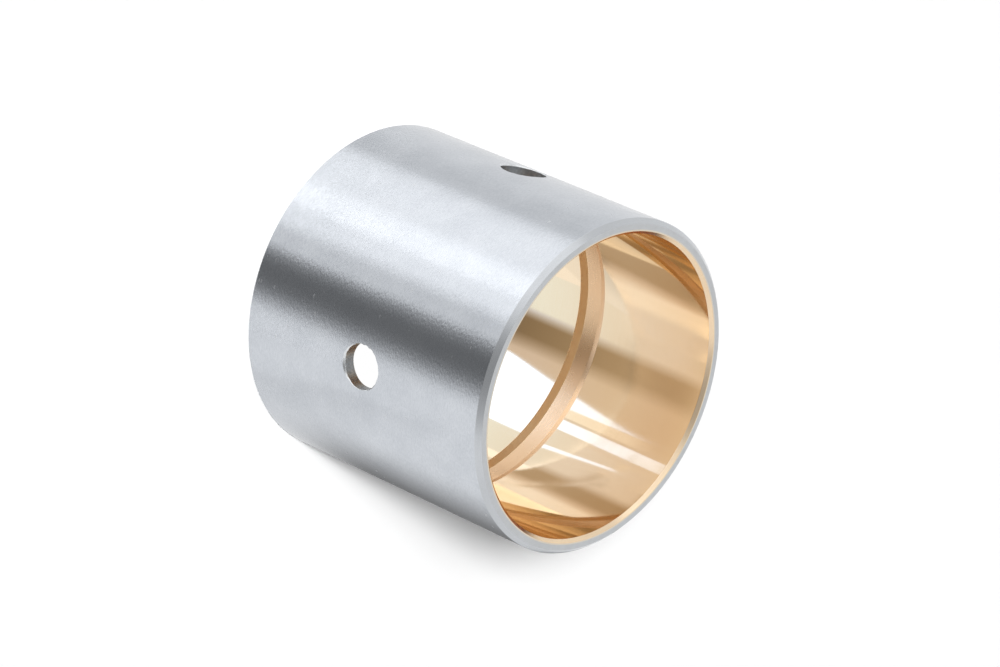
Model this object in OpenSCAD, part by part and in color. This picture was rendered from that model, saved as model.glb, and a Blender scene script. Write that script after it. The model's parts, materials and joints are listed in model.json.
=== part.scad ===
// Steel-backed bronze sleeve bushing with an annular oil groove and two oil holes.
// Millimetres. +Z runs along the bore. The origin is the centre of the lower end face.

/* [Bearing] */
// Diameter of the bearing bore
bore_d = 50; // [40:0.5:65]
// Length from one end face to the other
length = 52; // [36:0.5:80]

/* [Walls] */
// Thickness of the bronze lining
lining_wall = 0.8; // [0.7:0.05:1.5]
// Thickness of the steel shell
shell_wall = 1.7; // [1.3:0.05:4]

/* [End edges] */
// Leg of the 45 degree chamfer round each outside edge of the shell
outer_chamfer = 0.8; // [0.2:0.05:1]
// Leg of the 45 degree chamfer round each mouth of the bore
mouth_chamfer = 0.55; // [0.2:0.05:0.6]

/* [Oil groove] */
// Width of the groove at the bore
groove_width = 5.4; // [4.4:0.1:9]
// Depth of the groove below the bore
groove_depth = 0.5; // [0.25:0.05:0.55]
// Length along the bore of each sloping flank
groove_flank = 1.25; // [0.4:0.05:1.8]

/* [Oil holes] */
// Diameter of each oil hole
hole_d = 7.3; // [5:0.1:9.5]
// Angle from one oil hole to the next, round the sleeve
hole_spacing = 100; // [60:5:180]
// Number of oil holes
hole_count = 2; // [1:1:2]
// Depth of the broken edge of each hole at the outside
hole_break = 0.3; // [0.1:0.05:0.5]
// Depth of the deburred edge of each hole at the bore
hole_deburr = 0.4; // [0.1:0.05:0.5]

/* [Hidden] */
// Angle of the first oil hole, facing the front of the part
first_hole_angle = -90;
// Radii, from the bore outwards
bore_r = bore_d / 2;
groove_r = bore_r + groove_depth;
seam_r = bore_r + lining_wall;
outer_r = seam_r + shell_wall;
hole_r = hole_d / 2;
// Heights along the bore: the groove and the holes share the middle of the sleeve
middle_z = length / 2;
groove_low_z = middle_z - groove_width / 2;
groove_high_z = middle_z + groove_width / 2;
// How far a cutter runs past the curved wall that it cuts
run_out = hole_r / 3;
$fn = 180;

// Half section of the steel shell, with its outside edges chamfered
module shell_section() {
    polygon([
        [seam_r, 0],
        [outer_r - outer_chamfer, 0],
        [outer_r, outer_chamfer],
        [outer_r, length - outer_chamfer],
        [outer_r - outer_chamfer, length],
        [seam_r, length]
    ]);
}

// Half section of the lining: chamfered mouths, and a groove with sloping flanks
module lining_section() {
    polygon([
        [seam_r, 0],
        [seam_r, length],
        [bore_r + mouth_chamfer, length],
        [bore_r, length - mouth_chamfer],
        [bore_r, groove_high_z],
        [groove_r, groove_high_z - groove_flank],
        [groove_r, groove_low_z + groove_flank],
        [bore_r, groove_low_z],
        [bore_r, mouth_chamfer],
        [bore_r + mouth_chamfer, 0]
    ]);
}

// Cutter for one oil hole along +X: the drill, the broken edge outside and the deburred edge inside
module hole_cutter() {
    cylinder(h = outer_r + run_out, r = hole_r);
    translate([0, 0, outer_r - hole_break])
        cylinder(h = hole_break + run_out, r1 = hole_r, r2 = hole_r + hole_break + run_out);
    translate([0, 0, bore_r - run_out])
        cylinder(h = hole_deburr + run_out, r1 = hole_r + hole_deburr + run_out, r2 = hole_r);
}

// Every oil hole, set round the middle of the sleeve
module oil_holes() {
    for (i = [0 : hole_count - 1])
        rotate([0, 0, first_hole_angle - i * hole_spacing])
            translate([0, 0, middle_z])
                rotate([0, 90, 0])
                    hole_cutter();
}

// Outer shell of steel, the face that the housing grips
module steel_shell() {
    color("#c3c7cc")
        difference() {
            rotate_extrude()
                shell_section();
            oil_holes();
        }
}

// Bronze lining bonded inside the shell, the face that the shaft runs on
module bronze_lining() {
    color("#cd9c60")
        difference() {
            rotate_extrude()
                lining_section();
            oil_holes();
        }
}

steel_shell();
bronze_lining();
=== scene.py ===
"""Looks, light and camera for the steel-backed bronze sleeve bushing. Metres, +Z along the bore."""
import json
import math

import bmesh
import bpy
import numpy as np
from mathutils import Matrix, Vector


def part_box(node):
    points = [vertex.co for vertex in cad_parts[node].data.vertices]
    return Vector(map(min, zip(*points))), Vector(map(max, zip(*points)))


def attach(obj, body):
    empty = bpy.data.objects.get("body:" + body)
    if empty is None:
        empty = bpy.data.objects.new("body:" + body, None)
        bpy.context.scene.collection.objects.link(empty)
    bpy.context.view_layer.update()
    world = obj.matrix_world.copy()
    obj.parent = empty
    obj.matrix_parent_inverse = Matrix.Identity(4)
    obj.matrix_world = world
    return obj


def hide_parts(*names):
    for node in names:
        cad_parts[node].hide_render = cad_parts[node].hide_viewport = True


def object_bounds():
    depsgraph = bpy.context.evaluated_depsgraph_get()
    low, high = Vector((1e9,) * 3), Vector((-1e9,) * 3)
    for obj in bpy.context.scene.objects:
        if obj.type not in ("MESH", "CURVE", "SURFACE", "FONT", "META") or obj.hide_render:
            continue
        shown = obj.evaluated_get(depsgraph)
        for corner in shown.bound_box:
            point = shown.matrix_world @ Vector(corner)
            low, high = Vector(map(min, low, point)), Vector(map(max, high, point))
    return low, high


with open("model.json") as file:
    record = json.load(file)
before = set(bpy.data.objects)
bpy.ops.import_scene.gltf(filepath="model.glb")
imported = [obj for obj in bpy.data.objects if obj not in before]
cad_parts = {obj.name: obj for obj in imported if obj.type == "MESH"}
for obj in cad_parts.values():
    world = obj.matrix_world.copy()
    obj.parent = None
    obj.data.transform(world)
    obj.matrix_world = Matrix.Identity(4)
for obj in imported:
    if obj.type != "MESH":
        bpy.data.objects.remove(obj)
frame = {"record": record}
CAD_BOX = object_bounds()
MM = 0.001

# Sizes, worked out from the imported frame
MOUNTS = {m["name"]: m for m in frame["record"]["mounts"]}
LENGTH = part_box("steel_shell")[1].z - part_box("steel_shell")[0].z
BORE_R = MOUNTS["bearing_bore"]["dims"]["r_mm"] * MM
OUTER_R = min(abs(side) for corner in CAD_BOX for side in corner.xy)
SEAM_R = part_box("bronze_lining")[1].x
MOUTH_CHAMFER = (LENGTH - MOUNTS["bearing_bore"]["dims"]["length_mm"] * MM) / 2
OUTER_CHAMFER = (LENGTH - MOUNTS["outer_seat"]["dims"]["length_mm"] * MM) / 2
OIL_HOLES = [MOUNTS["oil_hole_front"], MOUNTS["oil_hole_side"]]
HOLE_R = OIL_HOLES[0]["dims"]["r_mm"] * MM
HOLE_MIDDLE_R = Vector(OIL_HOLES[0]["pos_m"]).xy.length
HOLE_HALF_WALL = OIL_HOLES[0]["dims"]["length_mm"] * MM / 2
# The oil groove's own sizes, which no mount gives
GROOVE_WIDTH = 5.4 * MM
GROOVE_DEPTH = 0.5 * MM
GROOVE_FLANK = 1.25 * MM
GROOVE_LOW = LENGTH / 2 - GROOVE_WIDTH / 2
GROOVE_HIGH = LENGTH / 2 + GROOVE_WIDTH / 2

# Fineness of the meshes
COLUMNS = 480
HOLE_COLUMNS = 120
ARC_STEPS = 4
# Gap under which two points of a drill's mesh are the same point
SAME_POINT = 0.0001 * MM
# Small radii that real edges have
EDGE = 0.09 * MM
GROOVE_EDGE = 0.2 * MM
HOLE_RIM = 0.16 * MM
HOLE_DEBURR = 0.12 * MM
# Chips in the outer edge of the holes: how deep they reach, the angle of the ragged stretch, and sizes
CHIP_REACH = 0.4 * MM
CHIP_TURN = math.radians(60)
NICK_SIZE = 0.03 * MM
RAGGED_SIZE = 0.2 * MM
# How far a drill runs past each side of the wall
DRILL_RUN_OUT = 3 * MM


def arc_corner(before, corner, after, radius):
    """Points and outward normals that round one corner of a section, walked anticlockwise."""
    a = (before - corner).normalized()
    b = (after - corner).normalized()
    half = a.angle(b) / 2
    reach = radius / math.tan(half)
    middle = corner + (a + b).normalized() * (radius / math.sin(half))
    start = corner + a * reach - middle
    turn = math.pi - 2 * half
    side = 1 if (corner - before).cross(after - corner) > 0 else -1
    found = []
    for i in range(ARC_STEPS + 1):
        arm = start.copy()
        arm.rotate(Matrix.Rotation(side * turn * i / ARC_STEPS, 2))
        found.append((middle + arm, arm.normalized() * side))
    return found


def section(corners):
    """Rounds a section's corners into short runs.

    A corner is (r, z, radius, tag of the run that follows); a run is both ends, both normals and the tag.
    """
    points = [Vector(c[:2]) for c in corners]
    runs = []
    rounded = []
    for i, c in enumerate(corners):
        before, after = points[i - 1], points[(i + 1) % len(points)]
        if c[2] > 0:
            rounded.append(arc_corner(before, points[i], after, c[2]))
        else:
            rounded.append(None)
    for i, c in enumerate(corners):
        j = (i + 1) % len(corners)
        arc = rounded[i]
        if arc:
            for (p, n), (q, m) in zip(arc, arc[1:]):
                runs.append((p, q, n, m, c[3]))
        start = arc[-1][0] if arc else points[i]
        end = rounded[j][0][0] if rounded[j] else points[j]
        along = (end - start).normalized()
        normal = Vector((along.y, -along.x))
        runs.append((start, end, normal, normal, c[3]))
    return runs


def close_ends(mesh):
    """Joins the points that a section leaves on its own axis."""
    work = bmesh.new()
    work.from_mesh(mesh)
    bmesh.ops.remove_doubles(work, verts=work.verts, dist=SAME_POINT)
    bmesh.ops.dissolve_degenerate(work, edges=work.edges, dist=SAME_POINT)
    work.to_mesh(mesh)
    work.free()


def revolved(name, runs, columns, axis=None):
    """A closed mesh of revolution round +Z, or with its axis turned along the direction given."""
    count = len(runs)
    turn = np.linspace(0, 2 * math.pi, columns, endpoint=False)
    r = np.array([run[0].x for run in runs])
    z = np.array([run[0].y for run in runs])
    points = np.stack([
        np.outer(np.cos(turn), r),
        np.outer(np.sin(turn), r),
        np.outer(np.ones(columns), z),
    ], axis=-1).reshape(-1, 3)
    faces = []
    for i in range(columns):
        here, there = i * count, (i + 1) % columns * count
        for j in range(count):
            k = (j + 1) % count
            faces.append((here + j, there + j, there + k, here + k))
    mesh = bpy.data.meshes.new(name)
    mesh.from_pydata(points.tolist(), [], faces)
    if axis is not None:
        close_ends(mesh)
        mesh.transform(Vector((0, 0, 1)).rotation_difference(axis).to_matrix().to_4x4())
    made = bpy.data.objects.new(name, mesh)
    bpy.context.scene.collection.objects.link(made)
    return made


def hole_section():
    """Section of one oil hole's cutter: (radius, distance from the sleeve's axis)."""
    low = BORE_R - DRILL_RUN_OUT
    high = OUTER_R + DRILL_RUN_OUT
    inner = HOLE_MIDDLE_R - HOLE_HALF_WALL
    outer = HOLE_MIDDLE_R + HOLE_HALF_WALL
    return section([
        (0, low, 0, "hole"),
        (HOLE_R + inner - low, low, 0, "hole"),
        (HOLE_R, inner, HOLE_DEBURR, "hole"),
        (HOLE_R, outer - CHIP_REACH, 0, "hole"),
        (HOLE_R, outer, HOLE_RIM, "rim"),
        (HOLE_R + high - outer, high, 0, "hole"),
        (0, high, 0, "hole"),
    ])


def chips(points, axis):
    """How far points near the outer edge of a hole are moved out by its nicks and its ragged stretch."""
    across = np.cross(axis, (0, 0, 1))
    turn = np.arctan2(points @ across, points[:, 2])
    nicks = np.sin(7 * turn + 1) + 0.8 * np.sin(13 * turn + 2) + 0.6 * np.sin(23 * turn)
    ragged = np.clip(np.cos(turn - CHIP_TURN), 0, 1) ** 6 * (0.6 + 0.4 * np.sin(19 * turn))
    nearness = 1 - np.abs(points @ axis - HOLE_MIDDLE_R - HOLE_HALF_WALL) / CHIP_REACH
    return (NICK_SIZE * nicks + RAGGED_SIZE * ragged) * np.clip(nearness, 0, 1)


def chip_edge(tool, axis):
    """Moves the cutter's points by the chips, so that they are in the real edge."""
    points = np.array([vertex.co for vertex in tool.data.vertices])
    moves = chips(points, axis)
    flat, away = around(points, axis)
    for vertex, move, way, far in zip(tool.data.vertices, moves, away, flat[:, 0]):
        if far > HOLE_R / 2:
            vertex.co += Vector(way) * move


def cut(body, tool):
    """Takes the tool out of the body, then removes the tool."""
    modifier = body.modifiers.new("cut", "BOOLEAN")
    modifier.operation = "DIFFERENCE"
    modifier.solver = "EXACT"
    modifier.object = tool
    graph = bpy.context.evaluated_depsgraph_get()
    mesh = bpy.data.meshes.new_from_object(body.evaluated_get(graph))
    body.modifiers.clear()
    old = body.data
    body.data = mesh
    bpy.data.meshes.remove(old)
    bpy.data.objects.remove(tool)


def nearest_run(flat, runs):
    """For each flat point: the nearest run of the section, and how far away it is."""
    starts = np.array([run[0] for run in runs])
    ends = np.array([run[1] for run in runs])
    along = ends - starts
    size = (along ** 2).sum(1)
    t = np.clip(((flat[:, None] - starts) * along).sum(2) / size, 0, 1)
    gap = np.linalg.norm(flat[:, None] - starts - t[..., None] * along, axis=2)
    return gap.argmin(1), gap.min(1)


def flat_normals(flat, chosen, runs):
    """The section's normal at each flat point, blended between the ends of its chosen run."""
    starts = np.array([run[0] for run in runs])[chosen]
    along = np.array([run[1] for run in runs])[chosen] - starts
    t = np.clip(((flat - starts) * along).sum(1) / (along ** 2).sum(1), 0, 1)[:, None]
    n = np.array([run[2] for run in runs])[chosen] * (1 - t)
    n = n + np.array([run[3] for run in runs])[chosen] * t
    return n / np.linalg.norm(n, axis=1)[:, None]


def around(points, direction):
    """Points as (distance from an axis, height along it), with the unit vectors away from that axis."""
    height = points @ direction
    away = points - np.outer(height, direction)
    far = np.linalg.norm(away, axis=1)
    return np.stack([far, height], 1), away / far[:, None]


def mesh_arrays(mesh):
    """A mesh's points, the point at each face corner, and how many corners each face has."""
    points = np.zeros(len(mesh.vertices) * 3)
    mesh.vertices.foreach_get("co", points)
    corners = np.zeros(len(mesh.loops), int)
    mesh.loops.foreach_get("vertex_index", corners)
    sizes = np.zeros(len(mesh.polygons), int)
    mesh.polygons.foreach_get("loop_total", sizes)
    return points.reshape(-1, 3), corners, sizes


def surfaces(runs, hole_runs):
    """The surfaces of revolution on a piece: axis, height at which it starts, and its section's runs."""
    found = [(np.array([0.0, 0.0, 1.0]), 0.0, runs)]
    for hole in OIL_HOLES:
        found.append((np.array(hole["axis"], float), LENGTH / 2, hole_runs))
    return found


def flattened(points, axis, lift):
    """Points round a surface's axis, as around() gives them, with a hole's chips taken off."""
    shifted = points - np.array([0, 0, lift])
    flat, away = around(shifted, axis)
    if lift:
        flat[:, 0] -= chips(shifted, axis)
    return flat, away


def nearest_surface(points, corners, sizes, found):
    """For each face: the surface that all its corners lie on, and the nearest run on every surface."""
    first = np.cumsum(sizes) - sizes
    gaps = []
    picks = []
    for axis, lift, runs in found:
        flat, _ = flattened(points, axis, lift)
        _, gap = nearest_run(flat, runs)
        if lift:
            gap = np.where(flat[:, 1] > 0, gap, 1.0)
        gaps.append(np.maximum.reduceat(gap[corners], first))
        middles = np.add.reduceat(flat[corners], first) / sizes[:, None]
        picks.append(nearest_run(middles, runs)[0])
    return np.array(gaps).argmin(0), picks


def dress(body, runs, hole_runs, looks):
    """Gives each face its finish and each corner the true normal of the surface that it lies on."""
    mesh = body.data
    points, corners, sizes = mesh_arrays(mesh)
    owner = np.repeat(np.arange(len(sizes)), sizes)
    found = surfaces(runs, hole_runs)
    kind, picks = nearest_surface(points, corners, sizes, found)
    normals = np.zeros((len(corners), 3))
    slots = np.zeros(len(sizes), int)
    tags = list(looks)
    for k, (axis, lift, own_runs) in enumerate(found):
        mine = kind[owner] == k
        flat, away = flattened(points[corners[mine]], axis, lift)
        n = flat_normals(flat, picks[k][owner[mine]], own_runs)
        outward = away * n[:, :1] + np.outer(n[:, 1], axis)
        normals[mine] = -outward if lift else outward
        faces = kind == k
        slots[faces] = [tags.index(own_runs[i][4]) for i in picks[k][faces]]
    mesh.materials.clear()
    for look in looks.values():
        mesh.materials.append(look)
    mesh.polygons.foreach_set("material_index", slots)
    mesh.polygons.foreach_set("use_smooth", np.ones(len(sizes), bool))
    mesh.update()
    mesh.normals_split_custom_set(normals.tolist())


def make_piece(name, node, runs, looks):
    """A finer mesh of one CAD node: revolved, drilled, dressed, and standing for that node."""
    body = revolved(name, runs, COLUMNS)
    hole_runs = hole_section()
    for hole in OIL_HOLES:
        tool = revolved("drill", hole_runs, HOLE_COLUMNS, Vector(hole["axis"]))
        chip_edge(tool, np.array(hole["axis"], float))
        tool.data.transform(Matrix.Translation((0, 0, LENGTH / 2)))
        cut(body, tool)
    dress(body, runs, hole_runs, looks)
    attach(body, "root")
    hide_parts(node)
    return body


class Nodes:
    """Small helper that adds and links shader nodes in one tree."""

    ROUGHNESS_OF_NOISE = 0.55

    def __init__(self, tree):
        self.tree = tree
        tree.nodes.clear()

    def add(self, kind, inputs=None, **settings):
        """A new node; each input is linked from a socket or set to a value."""
        node = self.tree.nodes.new(kind)
        for key, value in settings.items():
            setattr(node, key, value)
        for key, value in (inputs or {}).items():
            if isinstance(value, bpy.types.NodeSocket):
                self.tree.links.new(value, node.inputs[key])
            else:
                node.inputs[key].default_value = value
        return node

    def math(self, operation, a, b=0.0):
        """One sum with the numbers or sockets a and b."""
        return self.add("ShaderNodeMath", {0: a, 1: b}, operation=operation).outputs[0]

    def span(self, value, low, high, to_low, to_high, smooth=False):
        """The value moved from the span low to high onto another one, and held within it."""
        kind = "SMOOTHSTEP" if smooth else "LINEAR"
        keys = {"Value": value, "From Min": low, "From Max": high, "To Min": to_low, "To Max": to_high}
        return self.add("ShaderNodeMapRange", keys, interpolation_type=kind).outputs[0]

    def noise(self, where, round_scale, along_scale, detail=2.0):
        """Noise with its own scales across the axis and along it, so that marks run round the part."""
        keys = {"Vector": where, "Scale": (round_scale, round_scale, along_scale)}
        stretched = self.add("ShaderNodeMapping", keys).outputs[0]
        keys = {"Vector": stretched, "Scale": 1.0, "Detail": detail, "Roughness": self.ROUGHNESS_OF_NOISE}
        return self.add("ShaderNodeTexNoise", keys).outputs["Fac"]

    def tint(self, factor, a, b):
        """A colour between a and b; a may itself come from a node."""
        node = self.add("ShaderNodeMix", {0: factor, 7: (*b, 1)}, data_type="RGBA")
        if isinstance(a, bpy.types.NodeSocket):
            self.tree.links.new(a, node.inputs[6])
        else:
            node.inputs[6].default_value = (*a, 1)
        return node.outputs[2]

    def blend(self, share, a, b):
        """The level a where the share is 0, b where it is 1, and a mix between."""
        rest = self.math("MULTIPLY", a, self.math("SUBTRACT", 1, share))
        return self.math("ADD", rest, self.math("MULTIPLY", b, share))


def new_look(name):
    """A new material without nodes, and the helper that adds them."""
    look = bpy.data.materials.new(name)
    look.use_nodes = True
    return look, Nodes(look.node_tree)


def dust(n, where):
    """Sparse short flecks that run round the part: 1 on a fleck, 0 elsewhere."""
    stretched = n.add("ShaderNodeMapping", {"Vector": where, "Scale": DUST_SCALE}).outputs[0]
    cells = n.add("ShaderNodeTexVoronoi", {"Vector": stretched, "Scale": 1.0}).outputs
    chance = n.add("ShaderNodeSeparateColor", {0: cells["Color"]}).outputs[0]
    picked = n.span(chance, *DUST_CHANCE, 0, 1)
    return n.math("MULTIPLY", picked, n.span(cells["Distance"], *DUST_EDGE, 1, 0))


def metal(name, colour, worn_colour, roughness, roughness_change, marks, grain, bump_mm,
          stretch=0.0, dusty=0.0):
    """A machined metal: marks that run round the part, fine grain, and cloudy change of tone and gloss."""
    made, n = new_look(name)
    where = n.add("ShaderNodeTexCoord").outputs["Object"]
    cloud = n.noise(where, *CLOUDS)
    lines = n.noise(where, *marks)
    speckle = n.noise(where, *grain)
    height = n.math("ADD", n.math("MULTIPLY", lines, MARKS_SHARE), n.math("MULTIPLY", speckle, GRAIN_SHARE))
    bump = n.add("ShaderNodeBump", {"Strength": 1.0, "Distance": bump_mm * MM, "Height": height}).outputs[0]
    mottle = n.math("ADD", n.math("MULTIPLY", cloud, CLOUD_SHARE), n.math("MULTIPLY", height, HEIGHT_SHARE))
    fleck = n.span(mottle, *MOTTLE_SPAN, 0.0, 1.0)
    rough = n.span(fleck, 0, 1, roughness - roughness_change, roughness + roughness_change)
    shown = n.tint(fleck, colour, worn_colour)
    if dusty > 0:
        specks = dust(n, where)
        rough = n.math("ADD", rough, n.math("MULTIPLY", specks, dusty))
        shown = n.tint(specks, shown, DUST_COLOUR)
    shader = n.add("ShaderNodeBsdfPrincipled", {
        "Base Color": shown,
        "Metallic": 1.0,
        "Roughness": rough,
        "Normal": bump,
        "Anisotropic": stretch,
        "Anisotropic Rotation": QUARTER_TURN,
        "Tangent": n.add("ShaderNodeTangent", direction_type="RADIAL", axis="Z").outputs[0],
    })
    n.add("ShaderNodeOutputMaterial", {"Surface": shader.outputs[0]})
    return made


# How marks and grain share the bump, how clouds and the bump share the mottling, and the mottling's span
MARKS_SHARE = 0.6
GRAIN_SHARE = 0.4
CLOUD_SHARE = 0.4
HEIGHT_SHARE = 0.6
MOTTLE_SPAN = (0.36, 0.64)
# The turn that lays a highlight's stretch across the marks, as a share of a whole turn
QUARTER_TURN = 0.25
# Dust: its scale along each axis, the span of chances at which a cell holds a fleck, the fleck's soft edge
# from its middle, and its colour
DUST_SCALE = (800, 800, 2100)
DUST_CHANCE = (0.975, 0.99)
DUST_EDGE = (0.16, 0.34)
DUST_COLOUR = (0.74, 0.76, 0.79)
# Each noise: its scale round the axis, its scale along it, and its detail
CLOUDS = (160, 160, 3)
GRINDING_MARKS = (1500, 4600, 2)
TURNING_MARKS = (380, 3600, 2)
FACING_MARKS = (900, 900, 3)
BORING_MARKS = (300, 4200, 2)
GROOVING_MARKS = (420, 4200, 2)
DRILLING_MARKS = (2400, 2400, 2)
GROUND_GRAIN = (1900, 5200, 1)
FINE_GRAIN = (2400, 3200, 1)

# Each metal: name, main colour, worn colour, roughness and its change, marks, grain, bump in mm, and
# where they apply the stretch of its highlights round the part and how rough its dust is
steel_ground = metal("steel_ground", (0.603, 0.629, 0.668), (0.511, 0.537, 0.576), 0.13, 0.02,
                     GRINDING_MARKS, GROUND_GRAIN, 0.027, stretch=0.95, dusty=0.4)
steel_faced = metal("steel_faced", (0.58, 0.60, 0.62), (0.54, 0.55, 0.56), 0.34, 0.05,
                    FACING_MARKS, FINE_GRAIN, 0.014)
steel_chamfer = metal("steel_chamfer", (0.57, 0.59, 0.62), (0.55, 0.57, 0.59), 0.2, 0.04,
                      TURNING_MARKS, FINE_GRAIN, 0.002)
# Oil hole walls: a dark grey, darker than the steel's own colour, that paints the shade inside the holes
steel_hole_painted_shade = metal("steel_hole_painted_shade", (0.40, 0.42, 0.44), (0.25, 0.265, 0.28), 0.46, 0.06,
                   DRILLING_MARKS, FINE_GRAIN, 0.006)
# The oil holes' rounded rim on the steel: a pale grey, paler than the steel's own colour, that paints a
# highlight along the edge
steel_rim_painted_highlight = metal("steel_rim_painted_highlight", (0.80, 0.82, 0.84), (0.66, 0.68, 0.70), 0.25, 0.06,
                  FINE_GRAIN, FINE_GRAIN, 0.004)
bronze_bored = metal("bronze_bored", (0.91, 0.755, 0.56), (0.90, 0.735, 0.53), 0.06, 0.012,
                     BORING_MARKS, FINE_GRAIN, 0.0004, stretch=0.7)
bronze_groove = metal("bronze_groove", (0.80, 0.56, 0.355), (0.78, 0.54, 0.34), 0.28, 0.02,
                      GROOVING_MARKS, FINE_GRAIN, 0.0016)
# The groove's rear flank, which faces the front: a paler copy of the groove's bronze, painted light on that
# one flank
bronze_flank_painted_light = metal("bronze_flank_painted_light", (0.95, 0.80, 0.54), (0.92, 0.765, 0.51), 0.38, 0.03,
                     GROOVING_MARKS, FINE_GRAIN, 0.0016)
bronze_edge = metal("bronze_edge", (0.90, 0.72, 0.50), (0.86, 0.66, 0.46), 0.2, 0.04,
                    TURNING_MARKS, FINE_GRAIN, 0.002)
bronze_ring = metal("bronze_ring", (0.74, 0.68, 0.58), (0.70, 0.63, 0.53), 0.3, 0.05,
                    TURNING_MARKS, FINE_GRAIN, 0.006)
# The lining's part of the oil hole walls: the same dark grey in place of bronze, painted shade inside the
# holes
bronze_hole_painted_shade = metal("bronze_hole_painted_shade", (0.39, 0.41, 0.43), (0.25, 0.265, 0.28), 0.46, 0.06,
                    DRILLING_MARKS, FINE_GRAIN, 0.006)

# The two pieces
shell_runs = section([
    (SEAM_R, 0, 0, "faced"),
    (OUTER_R - OUTER_CHAMFER, 0, EDGE, "chamfer"),
    (OUTER_R, OUTER_CHAMFER, EDGE, "ground"),
    (OUTER_R, LENGTH - OUTER_CHAMFER, EDGE, "chamfer"),
    (OUTER_R - OUTER_CHAMFER, LENGTH, EDGE, "faced"),
    (SEAM_R, LENGTH, 0, "faced"),
])
make_piece("shell", "steel_shell", shell_runs, {
    "ground": steel_ground,
    "chamfer": steel_chamfer,
    "faced": steel_faced,
    "hole": steel_hole_painted_shade,
    "rim": steel_rim_painted_highlight,
})
lining_runs = section([
    (SEAM_R, 0, 0, "ring"),
    (SEAM_R, LENGTH, 0, "ring"),
    (BORE_R + MOUTH_CHAMFER, LENGTH, EDGE, "edge"),
    (BORE_R, LENGTH - MOUTH_CHAMFER, EDGE, "bored"),
    (BORE_R, GROOVE_HIGH, GROOVE_EDGE, "groove"),
    (BORE_R + GROOVE_DEPTH, GROOVE_HIGH - GROOVE_FLANK, GROOVE_EDGE, "groove"),
    # The rear flank gets the paler bronze that paints light on it
    (BORE_R + GROOVE_DEPTH, GROOVE_LOW + GROOVE_FLANK, GROOVE_EDGE, "flank"),
    (BORE_R, GROOVE_LOW, GROOVE_EDGE, "bored"),
    (BORE_R, MOUTH_CHAMFER, EDGE, "edge"),
    (BORE_R + MOUTH_CHAMFER, 0, EDGE, "ring"),
])
make_piece("lining", "bronze_lining", lining_runs, {
    "bored": bronze_bored,
    "groove": bronze_groove,
    "flank": bronze_flank_painted_light,
    "edge": bronze_edge,
    "ring": bronze_ring,
    "hole": bronze_hole_painted_shade,
    "rim": bronze_edge,
})

# Camera, turned so that the sleeve lies across the picture as in the photograph
CAMERA_LENS = 162.6
AXIS_TILT = math.radians(51.013)
PICTURE_ROLL = math.radians(23.628)
SIDE_ANGLE = math.radians(154)
CAMERA_DISTANCE = 700.3 * MM
AIM_RIGHT = 16.005 * MM
AIM_DOWN = 8.514 * MM

along_bore = Vector((0, 0, 1))
side = Vector((math.cos(SIDE_ANGLE), math.sin(SIDE_ANGLE), 0))
near = along_bore.cross(side)
to_camera = math.cos(AXIS_TILT) * along_bore + math.sin(AXIS_TILT) * near
flat_way = math.sin(AXIS_TILT) * along_bore - math.cos(AXIS_TILT) * near
right = math.sin(PICTURE_ROLL) * side + math.cos(PICTURE_ROLL) * flat_way
down = -math.cos(PICTURE_ROLL) * side + math.sin(PICTURE_ROLL) * flat_way
camera_data = bpy.data.cameras.new("camera")
camera_data.lens = CAMERA_LENS
camera_data.sensor_width = 36
camera = bpy.data.objects.new("camera", camera_data)
turned = Matrix((right, -down, to_camera)).transposed().to_4x4()
spot = Vector((0, 0, LENGTH)) - AIM_RIGHT * right - AIM_DOWN * down + CAMERA_DISTANCE * to_camera
camera.matrix_world = Matrix.Translation(spot) @ turned
bpy.context.scene.collection.objects.link(camera)
bpy.context.scene.camera = camera

# Studio round the part: upright strips of wall and window, by angle from the side direction
# Each strip: first angle, last angle, level there
STRIPS = [
    (-180, -30, 0.95),
    (-12, 1.5, 0.87),
    (3.0, 8, 1.27),
    (16, 36, 1.38),
    (45, 56, 1.64),
    (61, 70, 1.36),
    (79, 88, 0.92),
    (91, 91, 0.75),
    (94, 94, 0.45),
    (99, 99, 0.26),
    (104, 112, 0.20),
    (118, 118, 0.25),
    (125, 125, 0.48),
    (133, 133, 0.95),
    (140, 180, 1.05),
]
# The ceiling: its level, and a way's z part where the ceiling starts to show and where it is full
CEILING_LEVEL = 0.85
CEILING_STARTS = -0.12
CEILING_FULL = 0.2
# The strips' share within the ceiling, and a way's z part where they start to fade and where they are gone
STRIPS_SHARE = 0.8
STRIPS_FADE = 0.62
STRIPS_GONE = 0.86
# The dim patch overhead where the camera stands: the way to it, its edges' angles from there, and its level
DIM_TURN = math.radians(116)
DIM_WAY = Vector((math.cos(DIM_TURN) * 0.65, math.sin(DIM_TURN) * 0.65, 0.76)).normalized()
DIM_OUTER = math.radians(32)
DIM_INNER = math.radians(14)
DIM_LEVEL = 0.6
# Level of the studio for matt surfaces, which the lamps light instead
MATT_LEVEL = 0.08
# Light that has bounced three times or more in the bore has gone even, dim and warm
DEEP_FROM = 3
DEEP_SHARE = 0.46
DEEP_LEVEL = 0.38
DEEP_COLOUR = (0.81, 0.68, 0.51)


def strip_ramp(n, angle):
    """Level of the studio at an angle in degrees, as a colour ramp through the strips."""
    share = n.span(angle, -180, 180, 0, 1)
    ramp = n.add("ShaderNodeValToRGB", {"Fac": share})
    elements = ramp.color_ramp.elements
    stops = []
    for first, last, level in STRIPS:
        stops.append((first, level))
        if last > first:
            stops.append((last, level))
    while len(elements) < len(stops):
        elements.new(1.0)
    for element, (degrees, level) in zip(elements, stops):
        element.position = (degrees + 180) / 360
        element.color = (level / 2, level / 2, level / 2, 1)
    return n.math("MULTIPLY", ramp.outputs[0], 2.0)


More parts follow.
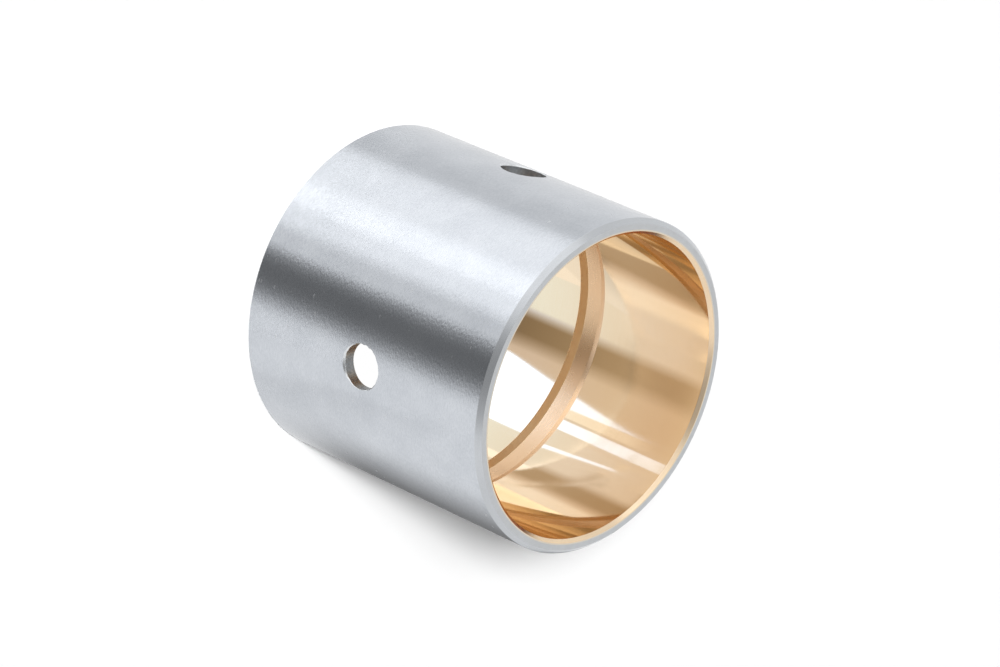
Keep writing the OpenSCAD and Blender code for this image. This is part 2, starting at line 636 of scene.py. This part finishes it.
def ceiling_level(n, way, rise, strips):
    """Overhead the strips fade into an even ceiling, with a dim patch where the camera stands."""
    share = n.span(rise, STRIPS_FADE, STRIPS_GONE, STRIPS_SHARE, 0, True)
    even = n.blend(share, CEILING_LEVEL, strips)
    facing = n.add("ShaderNodeVectorMath", {0: way, 1: DIM_WAY}, operation="DOT_PRODUCT").outputs["Value"]
    shade = n.span(facing, math.cos(DIM_OUTER), math.cos(DIM_INNER), 1, DIM_LEVEL, True)
    return n.math("MULTIPLY", even, shade)


def ray_light(n, level):
    """The world's strength and colour for each kind of ray, from the studio's level."""
    path = n.add("ShaderNodeLightPath").outputs
    dull = n.blend(path["Is Diffuse Ray"], level, MATT_LEVEL)
    seen = n.math("MAXIMUM", path["Is Camera Ray"], path["Is Transmission Ray"])
    strength = n.blend(seen, dull, 1)
    deep = n.math("GREATER_THAN", path["Glossy Depth"], DEEP_FROM - 0.5)
    evened = n.math("ADD", n.math("MULTIPLY", strength, DEEP_SHARE), DEEP_LEVEL)
    return n.blend(deep, strength, evened), n.tint(deep, (1, 1, 1), DEEP_COLOUR)


def studio_world():
    """The studio as the world: strips all round, the ceiling above, and plain white for the camera."""
    world = bpy.data.worlds.new("studio")
    bpy.context.scene.world = world
    world.use_nodes = True
    n = Nodes(world.node_tree)
    keys = {
        "Vector": n.add("ShaderNodeTexCoord").outputs["Generated"],
        "Axis": (0, 0, 1),
        "Angle": -SIDE_ANGLE,
    }
    way = n.add("ShaderNodeVectorRotate", keys, rotation_type="AXIS_ANGLE").outputs[0]
    parts = n.add("ShaderNodeSeparateXYZ", {0: way}).outputs
    strips = strip_ramp(n, n.math("DEGREES", n.math("ARCTAN2", parts[1], parts[0])))
    upward = n.span(parts[2], CEILING_STARTS, CEILING_FULL, 0, 1, True)
    level = n.blend(upward, strips, ceiling_level(n, way, parts[2], strips))
    strength, colour = ray_light(n, level)
    light = n.add("ShaderNodeBackground", {"Color": colour, "Strength": strength})
    n.add("ShaderNodeOutputWorld", {"Surface": light.outputs[0]})


studio_world()


def sun(name, angle, height, strength, softness):
    """A distant soft lamp at an angle from the side direction and a height above the floor, in degrees."""
    data = bpy.data.lights.new(name, "SUN")
    data.energy = strength
    data.angle = math.radians(softness)
    lamp = bpy.data.objects.new(name, data)
    turn = math.radians(angle) + SIDE_ANGLE
    rise = math.radians(height)
    way = Vector((math.cos(turn) * math.cos(rise), math.sin(turn) * math.cos(rise), math.sin(rise)))
    lamp.rotation_mode = "QUATERNION"
    lamp.rotation_quaternion = way.to_track_quat("Z", "Y")
    lamp.location = way
    lamp.visible_glossy = False
    bpy.context.scene.collection.objects.link(lamp)


# One soft lamp on the camera's side, as a strong sun and a weaker one above it, and a weak lamp overhead
sun("main_lamp", angle=85, height=40, strength=2.85, softness=8)
sun("upper_lamp", angle=80, height=46, strength=1.25, softness=8)
sun("top_lamp", angle=60, height=84, strength=0.12, softness=14)

# The floor, and the whiteness that only the camera's rays add to it
FLOOR_COLUMNS = 128
FLOOR_R = 4.0
FLOOR_HOLE_R = BORE_R + 1.2 * MM
FLOOR_DROP = 0.02 * MM
FLOOR_COLOUR = (0.95, 0.95, 0.95, 1)
FLOOR_GLOW = 0.06
WHITE = (1, 1, 1, 1)


def floor_look():
    """Matt white that keeps shadows, and that metal looks past."""
    look, n = new_look("floor_white")
    matt = n.add("ShaderNodeBsdfDiffuse", {"Color": FLOOR_COLOUR}).outputs[0]
    glow = n.add("ShaderNodeEmission", {"Color": WHITE, "Strength": FLOOR_GLOW}).outputs[0]
    both = n.add("ShaderNodeAddShader", {0: matt, 1: glow}).outputs[0]
    path = n.add("ShaderNodeLightPath").outputs
    shown = n.add("ShaderNodeMixShader", {0: path["Is Camera Ray"], 1: matt, 2: both}).outputs[0]
    clear = n.add("ShaderNodeBsdfTransparent").outputs[0]
    passed = n.add("ShaderNodeMixShader", {0: path["Is Glossy Ray"], 1: shown, 2: clear}).outputs[0]
    n.add("ShaderNodeOutputMaterial", {"Surface": passed})
    return look


def floor():
    """A pale round floor, open under the bore so that the bore sees the cards below."""
    count = FLOOR_COLUMNS
    turn = np.linspace(0, 2 * math.pi, count, endpoint=False)
    ring = np.stack([np.cos(turn), np.sin(turn), np.zeros(count)], 1)
    points = np.concatenate([ring * FLOOR_HOLE_R, ring * FLOOR_R])
    faces = [(i, i + count, (i + 1) % count + count, (i + 1) % count) for i in range(count)]
    mesh = bpy.data.meshes.new("floor")
    mesh.from_pydata(points.tolist(), [], faces)
    mesh.materials.append(floor_look())
    made = bpy.data.objects.new("floor", mesh)
    made.location.z = -FLOOR_DROP
    bpy.context.scene.collection.objects.link(made)


floor()


def studio_card(name, points, faces, look):
    """A studio card that only metal sees."""
    mesh = bpy.data.meshes.new(name)
    mesh.from_pydata([tuple(point) for point in points], [], faces)
    mesh.materials.append(look)
    made = bpy.data.objects.new(name, mesh)
    bpy.context.scene.collection.objects.link(made)
    made.visible_camera = False
    made.visible_diffuse = False
    made.visible_shadow = False
    return made


def at(across, toward, height):
    """A point by its distances along the side direction, along the near direction and up, in mm."""
    return side * across * MM + near * toward * MM + along_bore * height * MM


# The glowing card that stands for the table top beside the sleeve, with the sleeve's shadow on it painted as
# a dark stretch: its angle, its distance and its edges in mm
TABLE_TURN = math.radians(215)
TABLE_OUT = (math.cos(TABLE_TURN), math.sin(TABLE_TURN))
TABLE_ALONG = (math.sin(TABLE_TURN), -math.cos(TABLE_TURN))
TABLE_GAP = OUTER_R / MM + 0.3
TABLE_REACHES = (-30, 60)
TABLE_HEIGHTS = (-16, 50.8)
# Its levels, where along it the painted shadow gives way to the light, and where in height the level below
# fades out
TABLE_DARK = 0.22
TABLE_LIGHT = 1.04
TABLE_BELOW = 0.95
TABLE_DARK_ENDS = 12 * MM
TABLE_LIGHT_STARTS = 34 * MM
TABLE_BELOW_FULL = -12 * MM
TABLE_BELOW_GONE = 14 * MM


def table_look():
    """Dark where the sleeve would shade the table, lighter further along it and below it."""
    look, n = new_look("table_card")
    where = n.add("ShaderNodeTexCoord").outputs["Object"]
    way = side * TABLE_ALONG[0] + near * TABLE_ALONG[1]
    reach = n.add("ShaderNodeVectorMath", {0: where, 1: way}, operation="DOT_PRODUCT").outputs["Value"]
    level = n.span(reach, TABLE_DARK_ENDS, TABLE_LIGHT_STARTS, TABLE_DARK, TABLE_LIGHT, True)
    height = n.add("ShaderNodeSeparateXYZ", {0: where}).outputs[2]
    below = n.span(height, TABLE_BELOW_FULL, TABLE_BELOW_GONE, 1, 0, True)
    level = n.blend(below, level, TABLE_BELOW)
    glow = n.add("ShaderNodeEmission", {"Color": WHITE, "Strength": level}).outputs[0]
    n.add("ShaderNodeOutputMaterial", {"Surface": glow})
    return look


def table_card():
    """The table's card, upright beside the sleeve."""
    (start, end), (low, high) = TABLE_REACHES, TABLE_HEIGHTS
    ends = []
    for reach, height in ((start, low), (end, low), (end, high), (start, high)):
        across = TABLE_OUT[0] * TABLE_GAP + TABLE_ALONG[0] * reach
        toward = TABLE_OUT[1] * TABLE_GAP + TABLE_ALONG[1] * reach
        ends.append(at(across, toward, height))
    studio_card("table_card", ends, [(0, 1, 2, 3)], table_look())


table_card()

# Cards under the sleeve, each placed by where the camera sees it reflected in the bore after one bounce
# or after two. The two-bounce cards of the low angles are nearer, so that the high ones do not hide them.
ONE_BOUNCE_DEPTH = 60 * MM
TWO_BOUNCE_DEPTH = 90 * MM
TWO_BOUNCE_LOW_DEPTH = 3 * MM
LOW_ANGLE = 247
# How far over the others each next band lies, and how far over the bands the patches lie
BAND_STEP = 0.05 * MM
PATCH_LIFT = 2 * MM
# A card's grid, and how far the cards for one bounce and for two overlap, as a share of the length
BAND_ROWS = 16
BAND_COLUMNS = 4
OVERLAP = 0.01
# How far off a ray's last leg may be: a fixed slack, and a share of the card's depth
LEG_SLACK = 4 * MM
LEG_SLACK_SHARE = 0.05
# Share of the length that the furthest bands reach, and one where every ray bounces at least once
LAST_SHARE = 0.8
TYPICAL_SHARE = 0.3
# How the bore tints two bounces, at the front and from TWO_BOUNCE_EVEN of the length on, and one bounce,
# where it takes over and ONE_BOUNCE_FADE further on, with the contrast that it gains on the way
TWO_BOUNCE_FRONT = (0.92, 0.88, 0.83)
TWO_BOUNCE_REAR = (0.99, 1.07, 1.19)
TWO_BOUNCE_EVEN = 0.3
ONE_BOUNCE_START = 0.27
ONE_BOUNCE_FADE = 0.43
ONE_BOUNCE_FRONT = (0.905, 0.80, 0.615)
ONE_BOUNCE_REAR = (1.0, 1.02, 0.92)
ONE_BOUNCE_CONTRAST = 2.6
SHADE = (0.56, 0.49, 0.42)
TAN = (0.85, 0.80, 0.81)
WALL = (0.97, 1.02, 1.20)
GLOW = (1.15, 1.20, 1.35)
WINDOW = (1.33, 1.72, 2.75)
# Tones of the studio under the sleeve, which blend from one stop to the next: each stop's angle in the
# bore at the front, its angle at LAST_SHARE of the length, and its tone
MIDDLE_STOPS = [
    (247, 247, WALL),
    (257, 257, TAN),
    (271, 271, TAN),
    (277, 277, SHADE),
    (283, 283, SHADE),
    (287.5, 287.5, WALL),
    (303, 303, WALL),
]
ONE_BOUNCE_STOPS = [(229, 229, WALL)] + MIDDLE_STOPS
LOW_STOPS = [
    (213, 213, GLOW),
    (218.5, 218.5, GLOW),
    (221, 221, TAN),
    (224, 224, SHADE),
    (229, 229, SHADE),
    (233, 233, WALL),
]
HIGH_STOPS = [
    (306, 306, GLOW),
    (311, 311, GLOW),
    (312, 321, TAN),
    (315, 326, SHADE),
    (328, 328, SHADE),
]
TWO_BOUNCE_STOPS = LOW_STOPS + MIDDLE_STOPS + HIGH_STOPS
# Bright patches with sharp edges: both edges as angles in the bore, each at the front and at LAST_SHARE
# of the length, the shares of the length that the patch spans, and its tone
PATCHES = [
    ("streak", (248.7, 248.7), (253, 253), (0.0, 0.5), WINDOW),
    ("mid", (254, 254), (258, 257.5), (0.15, 0.5), GLOW),
    ("wedge_above", (244.3, 235), (244.8, 237.8), (0.16, 0.5), WINDOW),
    ("wedge_below", (258.8, 256), (255.5, 268.2), (0.16, 0.5), WINDOW),
    ("rear", (240.5, 241.5), (254.3, 269), (0.5, 0.8), WINDOW),
]


def mixed(a, b, share):
    """The numbers of a and b, mixed one by one."""
    return [x + (y - x) * share for x, y in zip(a, b)]


def chord(point, way):
    """How far along its way a ray that leaves the bore's wall meets the wall again."""
    return -2 * point.xy.dot(way.xy) / way.xy.length_squared


def mirrored(point, way):
    """A ray's way after it meets the bore's wall at a point."""
    away = Vector((point.x, point.y, 0)).normalized()
    return way - 2 * way.dot(away) * away


def bore_point(angle, share):
    """The place in the bore at an angle from the side direction and a share of the length from the front."""
    turn = math.radians(angle)
    return (side * math.cos(turn) + near * math.sin(turn)) * BORE_R + along_bore * LENGTH * (1 - share)


def landing(angle, share, bounces, depth):
    """Where a camera ray to this place in the bore lands after its bounces, and its last leg's length."""
    point = bore_point(angle, share)
    way = mirrored(point, point - spot)
    for _ in range(bounces - 1):
        point = point + way * chord(point, way)
        way = mirrored(point, way)
    leg = way * ((-depth - point.z) / way.z)
    return point + leg, leg.length


def turning_share(angle):
    """Share of the length at which a camera ray just leaves the bore after one bounce."""
    point = bore_point(angle, TYPICAL_SHARE)
    way = mirrored(point, point - spot)
    return 1 + way.z * chord(point, way) / LENGTH


def band_look(name, bounces, depth):
    """Glow in the mesh's own tones, seen only after so many bounces and from about the stored distance."""
    look, n = new_look(name)
    look.cycles.emission_sampling = "NONE"
    tone = n.add("ShaderNodeVertexColor", layer_name="tone").outputs
    path = n.add("ShaderNodeLightPath").outputs
    keys = {0: path["Glossy Depth"], 1: bounces, 2: 0.5}
    counted = n.add("ShaderNodeMath", keys, operation="COMPARE").outputs[0]
    keys = {0: path["Ray Length"], 1: tone["Alpha"], 2: LEG_SLACK + LEG_SLACK_SHARE * depth}
    near_enough = n.add("ShaderNodeMath", keys, operation="COMPARE").outputs[0]
    meant = n.math("MULTIPLY", counted, near_enough)
    glow = n.add("ShaderNodeEmission", {"Color": tone["Color"], "Strength": 1.0}).outputs[0]
    clear = n.add("ShaderNodeBsdfTransparent").outputs[0]
    both = n.add("ShaderNodeMixShader", {0: meant, 1: clear, 2: glow}).outputs[0]
    n.add("ShaderNodeOutputMaterial", {"Surface": both})
    return look


def shown_tone(tone, share, bounces):
    """A tone as the bore shows it: warmer towards the front, and with more contrast after one bounce."""
    if bounces == 2:
        warm = mixed(TWO_BOUNCE_FRONT, TWO_BOUNCE_REAR, min(share / TWO_BOUNCE_EVEN, 1))
        return [level * w for level, w in zip(tone, warm)]
    beyond = max(share - ONE_BOUNCE_START, 0)
    warm = mixed(ONE_BOUNCE_FRONT, ONE_BOUNCE_REAR, min(beyond / ONE_BOUNCE_FADE, 1))
    contrast = 1 + ONE_BOUNCE_CONTRAST * beyond
    return [max(level, 1) * min(level, 1) ** contrast * w for level, w in zip(tone, warm)]


def card_depth(angle, bounces):
    """How far under the sleeve a card lies."""
    if bounces == 1:
        return ONE_BOUNCE_DEPTH
    return TWO_BOUNCE_LOW_DEPTH if angle < LOW_ANGLE else TWO_BOUNCE_DEPTH


def band_shares(angle, shares, bounces):
    """The part of a band's span of the length in which rays bounce so many times."""
    limit = turning_share(angle)
    if bounces == 1:
        return max(shares[0], limit - OVERLAP), shares[1]
    return shares[0], min(shares[1], limit + OVERLAP)


def band_points(first, last, shares, tones, bounces, depth):
    """Where a band's grid lands, with its tones and last legs; nothing where no such rays leave it."""
    points = []
    colours = []
    for i in range(BAND_ROWS + 1):
        for j in range(BAND_COLUMNS + 1):
            across = j / BAND_COLUMNS
            at_front, at_rear = mixed(first, last, across)
            low, high = band_shares(at_front, shares, bounces)
            if low >= high:
                return [], []
            share = low + (high - low) * i / BAND_ROWS
            angle = at_front + (at_rear - at_front) * share / LAST_SHARE
            point, leg = landing(angle, share, bounces, depth)
            points.append(point)
            colours.append(shown_tone(mixed(*tones, across), share, bounces) + [leg])
    return points, colours


def grid_faces(rows, columns):
    """The quads of a grid of points, row by row."""
    wide = columns + 1
    faces = []
    for i in range(rows):
        for j in range(columns):
            k = i * wide + j
            faces.append((k, k + 1, k + wide + 1, k + wide))
    return faces


def band_card(name, first, last, shares, tones, lift, bounces):
    """One band's card for the rays that bounce once, or for those that bounce twice."""
    depth = card_depth(first[0], bounces) - lift
    points, colours = band_points(first, last, shares, tones, bounces, depth)
    if not points:
        return
    name = "%s_%d" % (name, bounces)
    faces = grid_faces(BAND_ROWS, BAND_COLUMNS)
    made = studio_card(name, points, faces, band_look(name, bounces, depth))
    tone = made.data.color_attributes.new("tone", "FLOAT_COLOR", "POINT")
    for k, colour in enumerate(colours):
        tone.data[k].color = colour


for bounces, stops in ((1, ONE_BOUNCE_STOPS), (2, TWO_BOUNCE_STOPS)):
    for k, (first, last) in enumerate(zip(stops, stops[1:])):
        tones = (first[2], last[2])
        band_card("band_%d" % k, first[:2], last[:2], (0, LAST_SHARE), tones, k * BAND_STEP, bounces)
    for name, first, last, shares, tone in PATCHES:
        band_card(name, first, last, shares, (tone, tone), PATCH_LIFT, bounces)

# The bore mirrors itself many times over
scene = bpy.context.scene
scene.view_settings.view_transform = "Standard"
scene.cycles.glossy_bounces = 12
scene.cycles.max_bounces = 14
